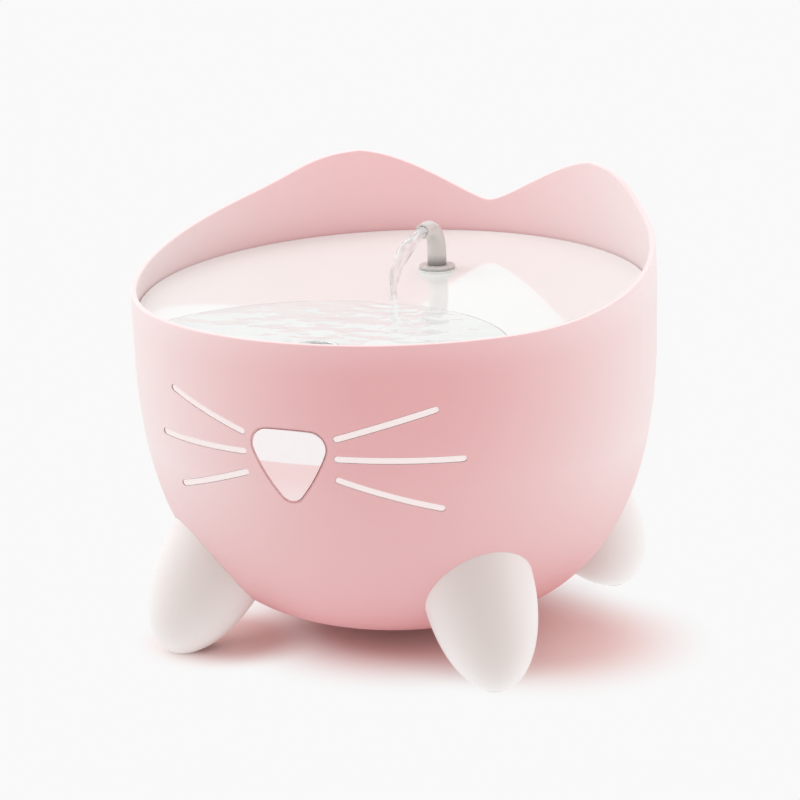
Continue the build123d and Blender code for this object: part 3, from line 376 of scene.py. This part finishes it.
def tray_floor(x, y):
    """Height of the tray's shallow sloping floor, with the drain's collar on it."""
    floor = tray_middle + y * tray_slope + (x * x + y * y) / (2 * dish_bend)
    if math.hypot(x, y - drain_middle) < drain_reach:
        floor = max(floor, drain_top)
    return floor


def ring_wave(x, y):
    """The jet's rings die away, and small crossing ripples cover the rest."""
    d = math.hypot(x - jet_foot[0], y - jet_foot[1])
    rings = ring_height * math.sin(d / ring_pitch) * math.exp(-d / ring_fade)
    coarse = noise.noise(Vector((x * coarse_chop[0], y * coarse_chop[1], 0.0)))
    fine = noise.noise(Vector((x * fine_chop[0], y * fine_chop[1], 4.0)))
    return rings + chop_height * (coarse + 0.4 * fine)


def pool_spot(angle, distance):
    """The place this far from the pool's middle, at an angle from the front."""
    return pool_middle[0] + distance * math.sin(angle), pool_middle[1] - distance * math.cos(angle)


def pool_reach(angle):
    """How far the pool runs from its middle before it meets the tray."""
    wet_to, dry_from = 0.0, pool_limit
    for _ in range(40):
        halfway = (wet_to + dry_from) / 2
        x, y = pool_spot(angle, halfway)
        if math.hypot(x, y) < tray_edge and tray_floor(x, y) < water_level:
            wet_to = halfway
        else:
            dry_from = halfway
    return wet_to


def pool_sheet(mesh, top):
    """Rings of points from the pool's middle to its shore, on its surface or on its bed."""
    turns = [2 * math.pi * s / pool_sectors for s in range(pool_sectors)]
    reaches = [pool_reach(turn) for turn in turns]
    rows = []
    for k in range(pool_rings + 1):
        share = k / pool_rings
        row = []
        for turn, reach in zip(turns if k else turns[:1], reaches):
            x, y = pool_spot(turn, reach * share)
            calm = min(1.0, (1 - share) * shore_calm)
            surface = water_level + ring_wave(x, y) * calm
            bed = min(tray_floor(x, y), surface) - film
            row.append(mesh.verts.new((x, y, surface if top else bed)))
        rows.append(row)
    return rows


def linked(name, mesh):
    """Turns a finished bmesh into a smooth object in the scene."""
    bmesh.ops.recalc_face_normals(mesh, faces=mesh.faces)
    data = bpy.data.meshes.new(name)
    mesh.to_mesh(data)
    mesh.free()
    data.polygons.foreach_set("use_smooth", [True] * len(data.polygons))
    made = bpy.data.objects.new(name, data)
    bpy.context.scene.collection.objects.link(made)
    return made


def build_pool():
    """A closed thin body of water: rippled top, and a bottom that follows the tray."""
    mesh = bmesh.new()
    surface = pool_sheet(mesh, top=True)
    bed = pool_sheet(mesh, top=False)
    for rows, flip in ((surface, False), (bed, True)):
        for inner, outer in zip(rows, rows[1:]):
            for s in range(pool_sectors):
                t = (s + 1) % pool_sectors
                corners = [inner[s % len(inner)], outer[s], outer[t]]
                if len(inner) > 1:
                    corners.append(inner[t])
                mesh.faces.new(corners[::-1] if flip else corners)
    shore, edge = surface[-1], bed[-1]
    for s in range(pool_sectors):
        t = (s + 1) % pool_sectors
        mesh.faces.new((shore[t], shore[s], edge[s], edge[t]))
    return linked("water_pool", mesh)


def drinking_water(name, clear):
    """Water, clear or with fine bubbles in it. It casts next to no shadow, as it is so shallow."""
    finish, tree, out = fresh_finish(name)
    place = add_node(tree, "ShaderNodeTexCoord").outputs["Object"]
    shiver = add_node(tree, "ShaderNodeTexNoise", Vector=place, Scale=repeats(3.85), Detail=1.0)
    bump = add_node(tree, "ShaderNodeBump", Height=shiver.outputs["Fac"], Strength=0.25, Distance=0.0004)
    liquid = add_node(tree, "ShaderNodeBsdfPrincipled", Base_Color=tint("FFFEFE"), Roughness=0.01,
                      IOR=1.333, Transmission_Weight=clear, Normal=bump.outputs["Normal"])
    gap = add_node(tree, "ShaderNodeBsdfTransparent", Color=tint("FAF9F9"))
    path = add_node(tree, "ShaderNodeLightPath")
    both = add_node(tree, "ShaderNodeMixShader", i0=path.outputs["Is Shadow Ray"],
                    i1=liquid.outputs["BSDF"], i2=gap.outputs["BSDF"])
    tree.links.new(both.outputs["Shader"], out.inputs["Surface"])
    return finish


pool = build_pool()
pool.data.materials.append(drinking_water("drinking_water", 0.9))
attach(pool, "tray")

# ---- Spout, collar and jet ----------------------------------------------------------------------
# The spout is a bent tube in smoke-grey polycarbonate with a thin collar at its foot. Water leaves
# it in a low arch, full of fine bubbles, that narrows as it falls into the pool.
painted_shade_below, clear_above = 0.1365, 0.1425        # the tube is painted darker where it meets its collar, as shade


def smoke_polycarbonate(name, colour, painted_shade_colour, through, roughness):
    """Tinted polycarbonate, cloudy where water has dried, and with painted shade darkening it where it
    meets its seal.
    """
    finish, tree, out = fresh_finish(name)
    place = add_node(tree, "ShaderNodeTexCoord").outputs["Object"]
    spots = add_node(tree, "ShaderNodeTexNoise", Vector=place, Scale=repeats(2.38), Detail=3.0)
    rough = add_node(tree, "ShaderNodeMapRange", Value=spots.outputs["Fac"], To_Min=roughness - 0.04,
                     To_Max=roughness + 0.1)
    height = add_node(tree, "ShaderNodeSeparateXYZ", Vector=place).outputs["Z"]
    # Painted shade: the colour darkens towards the tube's foot, in the gap at its collar.
    up = add_node(tree, "ShaderNodeMapRange", {"interpolation_type": "SMOOTHSTEP"}, Value=height,
                  From_Min=painted_shade_below, From_Max=clear_above)
    shade = add_node(tree, "ShaderNodeMix", {"data_type": "RGBA"}, Factor=up.outputs["Result"],
                     i6=tint(painted_shade_colour), i7=tint(colour))
    skin = add_node(tree, "ShaderNodeBsdfPrincipled", Base_Color=shade.outputs[2], IOR=1.58,
                    Roughness=rough.outputs["Result"], Transmission_Weight=through)
    tree.links.new(skin.outputs["BSDF"], out.inputs["Surface"])
    return finish


dress(smoke_polycarbonate("smoke_grey_polycarbonate", "F4EEEB", "8F8A87", 0.35, 0.16), "spout_tube")
dress(smoke_polycarbonate("smoke_grey_collar", "DAD5D1", "DAD5D1", 0.1, 0.25), "spout_collar")

jet_stations = [                        # behind the axis, height, half depth, half width
    (0.0304, 0.1540, 0.0021, 0.0021),
    (0.0255, 0.1534, 0.0019, 0.0020),
    (0.0188, 0.1519, 0.0027, 0.0019),
    (0.0130, 0.1502, 0.0038, 0.0018),
    (0.0083, 0.1483, 0.0044, 0.0017),
    (0.0046, 0.1461, 0.0043, 0.0016),
    (0.0019, 0.1435, 0.0038, 0.0015),
    (0.0003, 0.1405, 0.0030, 0.0014),
    (-0.0003, 0.1375, 0.0019, 0.0013),
    (-0.0004, 0.1350, 0.0012, 0.0011),
    (-0.0005, 0.1330, 0.0013, 0.0012),
]
jet_steps, jet_sides = 6, 28            # cuts between two stations, and points round each cut
jet_unevenness = 0.32                   # the skin bulges and dips by about this share
jet_lumps = (2.2, 0.13, 2.0)            # how close the bulges lie round the jet and along it, and a shift


def smooth_step(before, start, end, after, share):
    """A point between start and end on the smooth curve through four points."""
    return 0.5 * (2 * start + (end - before) * share
                  + (2 * before - 5 * start + 4 * end - after) * share**2
                  + (3 * start - before - 3 * end + after) * share**3)


def jet_cuts():
    """The middle, half depth and half width of every cut along the jet's arch."""
    places = [Vector((0.0, y, z)) for y, z, _, _ in jet_stations]
    last = len(places) - 1
    cuts = []
    for i, (here, ahead) in enumerate(zip(jet_stations, jet_stations[1:])):
        corners = [places[max(i - 1, 0)], places[i], places[i + 1], places[min(i + 2, last)]]
        for step in range(jet_steps):
            share = step / jet_steps
            depth, width = [a * (1 - share) + b * share for a, b in zip(here[2:], ahead[2:])]
            cuts.append((smooth_step(*corners, share), depth, width))
    cuts.append((places[last], *jet_stations[last][2:]))
    return cuts


def build_jet():
    """A closed body of falling water along an arch in the middle plane, flat and uneven."""
    mesh = bmesh.new()
    round_lumps, along_lumps, shift = jet_lumps
    cuts = jet_cuts()
    across = Vector((1, 0, 0))
    rings = []
    for i, (middle, depth, width) in enumerate(cuts):
        ahead = (cuts[min(i + 1, len(cuts) - 1)][0] - cuts[max(i - 1, 0)][0]).normalized()
        upward = ahead.cross(across).normalized()
        ring = []
        for k in range(jet_sides):
            angle = 2 * math.pi * k / jet_sides
            out = across * math.cos(angle) * width + upward * math.sin(angle) * depth
            lump = noise.noise(Vector((math.cos(angle) * round_lumps, math.sin(angle) * round_lumps,
                                       i * along_lumps + shift)))
            ring.append(mesh.verts.new(middle + out * (1 + jet_unevenness * lump)))
        rings.append(ring)
    for a, b in zip(rings, rings[1:]):
        for k in range(jet_sides):
            following = (k + 1) % jet_sides
            mesh.faces.new((a[k], a[following], b[following], b[k]))
    mesh.faces.new(rings[0][::-1])
    mesh.faces.new(rings[-1])
    return linked("water_jet", mesh)


jet = build_jet()
jet.data.materials.append(drinking_water("aerated_water", 0.72))
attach(jet, "spout")

# ---- Floor, backdrop, lamps and camera ------------------------------------------------------------
# A pale table top that runs out into a white surround, large soft lamps from the upper left,
# the right and above, a narrow one on the ears, and a long lens a little above the bowl's rim.
# The table top is tinted pink, so the shade it keeps is a painted pink bounce.
surround_white = "F9F9F9"
view_turn = math.radians(23.72)         # the lens stands this far round from the front, to the right
view_rise = math.radians(14.95)
toward = Vector((math.sin(view_turn), -math.cos(view_turn), 0.0))
right = Vector((math.cos(view_turn), math.sin(view_turn), 0.0))
up = Vector((0, 0, 1))
shade_pools = [                         # aside, towards the lens, full to this radius, gone at this one
    (0.008, 0.004, 0.038, 0.090),
    (0.058, 0.036, 0.020, 0.068),
    (-0.070, 0.022, 0.016, 0.040),
]


def table_top(name, colour):
    """Matt, tinted pink so that the object's shade, which it keeps, is a painted pink bounce; away from
    that shade it turns into the plain surround.
    """
    finish, tree, out = fresh_finish(name)
    place = add_node(tree, "ShaderNodeTexCoord").outputs["Object"]
    matt = add_node(tree, "ShaderNodeBsdfDiffuse", Color=tint(colour))
    surround = add_node(tree, "ShaderNodeEmission", Color=tint(surround_white), Strength=1.0)
    clear_of_shade = 1.0
    for aside, near, inner, outer in shade_pools:
        spot = right * aside + toward * near
        away = add_node(tree, "ShaderNodeVectorMath", {"operation": "DISTANCE"}, i0=place, i1=tuple(spot))
        fade = add_node(tree, "ShaderNodeMapRange", {"interpolation_type": "SMOOTHSTEP"},
                        Value=away.outputs["Value"], From_Min=inner, From_Max=outer)
        clear_of_shade = add_node(tree, "ShaderNodeMath", {"operation": "MULTIPLY"}, i0=clear_of_shade,
                                  i1=fade.outputs["Result"]).outputs["Value"]
    both = add_node(tree, "ShaderNodeMixShader", i0=clear_of_shade, i1=matt.outputs["BSDF"],
                    i2=surround.outputs["Emission"])
    tree.links.new(both.outputs["Shader"], out.inputs["Surface"])
    return finish


floor_mesh = bmesh.new()
bmesh.ops.create_grid(floor_mesh, x_segments=8, y_segments=8, size=4.0)
floor_data = bpy.data.meshes.new("table_top")
floor_mesh.to_mesh(floor_data)
floor_mesh.free()
floor = bpy.data.objects.new("table_top", floor_data)
floor.location = (0, 0, -0.0001)
# The floor's pink tint shows only in the shade it keeps, as a painted pink bounce from the bowl.
floor_data.materials.append(table_top("matt_pink_shade_table_top", "F9E5E1"))
bpy.context.scene.collection.objects.link(floor)

scene = bpy.context.scene
surround = bpy.data.worlds.new("studio_surround")
scene.world = surround
surround.use_nodes = True
air = surround.node_tree
air.nodes.clear()
rays = add_node(air, "ShaderNodeLightPath")
room = add_node(air, "ShaderNodeBackground", Color=tint("F8F5F4"), Strength=0.9)
seen = add_node(air, "ShaderNodeBackground", Color=tint(surround_white), Strength=1.0)
straight = add_node(air, "ShaderNodeMath", {"operation": "MAXIMUM"}, i0=rays.outputs["Is Camera Ray"],
                    i1=rays.outputs["Is Transmission Ray"])
straight = add_node(air, "ShaderNodeMath", {"operation": "MAXIMUM"}, i0=straight.outputs["Value"],
                    i1=rays.outputs["Is Glossy Ray"])
air_mix = add_node(air, "ShaderNodeMixShader", i0=straight.outputs["Value"],
                   i1=room.outputs["Background"], i2=seen.outputs["Background"])
add_node(air, "ShaderNodeOutputWorld", Surface=air_mix.outputs["Shader"])


def soft_lamp(name, place, target, size, power, colour="FFFFFF"):
    """A square softbox that faces its target."""
    light = bpy.data.lights.new(name, "AREA")
    light.shape = "RECTANGLE"
    light.size, light.size_y = size
    light.energy = power
    light.color = tint(colour)[:3]
    lamp = bpy.data.objects.new(name, light)
    lamp.location = place
    lamp.rotation_euler = (Vector(target) - Vector(place)).to_track_quat("-Z", "Y").to_euler()
    scene.collection.objects.link(lamp)
    return lamp


middle = Vector((0, 0, 0.09))           # what the soft lamps face
soft_lamp("key_left", middle - right * 0.9 - toward * 0.2 + up * 1.1, middle, (0.9, 0.9), 4.8, "F3FAFC")
soft_lamp("side_right", middle + right * 1.2 + toward * 0.2 + up * 0.15, middle, (0.5, 0.9), 1.6)
soft_lamp("top", middle + up * 1.3 - toward * 0.2, middle, (1.0, 1.0), 2.7)

snoot = bpy.data.lights.new("ear_snoot", "SPOT")
snoot.energy = 5.8
snoot.spot_size = math.radians(10.5)
snoot.spot_blend = 0.5
snoot.shadow_soft_size = 0.05
above_ears = Vector((0, 0.1, 0.22)) - right * 0.025     # the beam's lower edge falls on the ears
ear_lamp = bpy.data.objects.new("ear_snoot", snoot)
ear_lamp.location = above_ears + toward * 1.2 + up * 0.56
ear_lamp.rotation_euler = (above_ears - ear_lamp.location).to_track_quat("-Z", "Y").to_euler()
scene.collection.objects.link(ear_lamp)

picture_px = 800.0                      # side of the square picture
focal_px = 3246.0                       # focal length, in its pixels
aim_px = (396.8, 379.0)                 # where the aim point falls in it
lens_distance = 1.3
lens_roll = math.radians(-1.71)
aim = Vector((0, 0, 0.1))
lens = bpy.data.cameras.new("camera")
lens.sensor_width = 36.0
lens.lens = focal_px / picture_px * lens.sensor_width
lens.shift_x = (picture_px / 2 - aim_px[0]) / picture_px
lens.shift_y = (aim_px[1] - picture_px / 2) / picture_px
lens.clip_start = 0.05
lens.clip_end = 20.0
camera = bpy.data.objects.new("camera", lens)
camera.location = aim + (toward * math.cos(view_rise) + up * math.sin(view_rise)) * lens_distance
level = (aim - camera.location).to_track_quat("-Z", "Y")
camera.rotation_euler = (level.to_matrix() @ Matrix.Rotation(lens_roll, 3, "Z")).to_euler()
scene.collection.objects.link(camera)
scene.camera = camera
scene.view_settings.view_transform = "Standard"
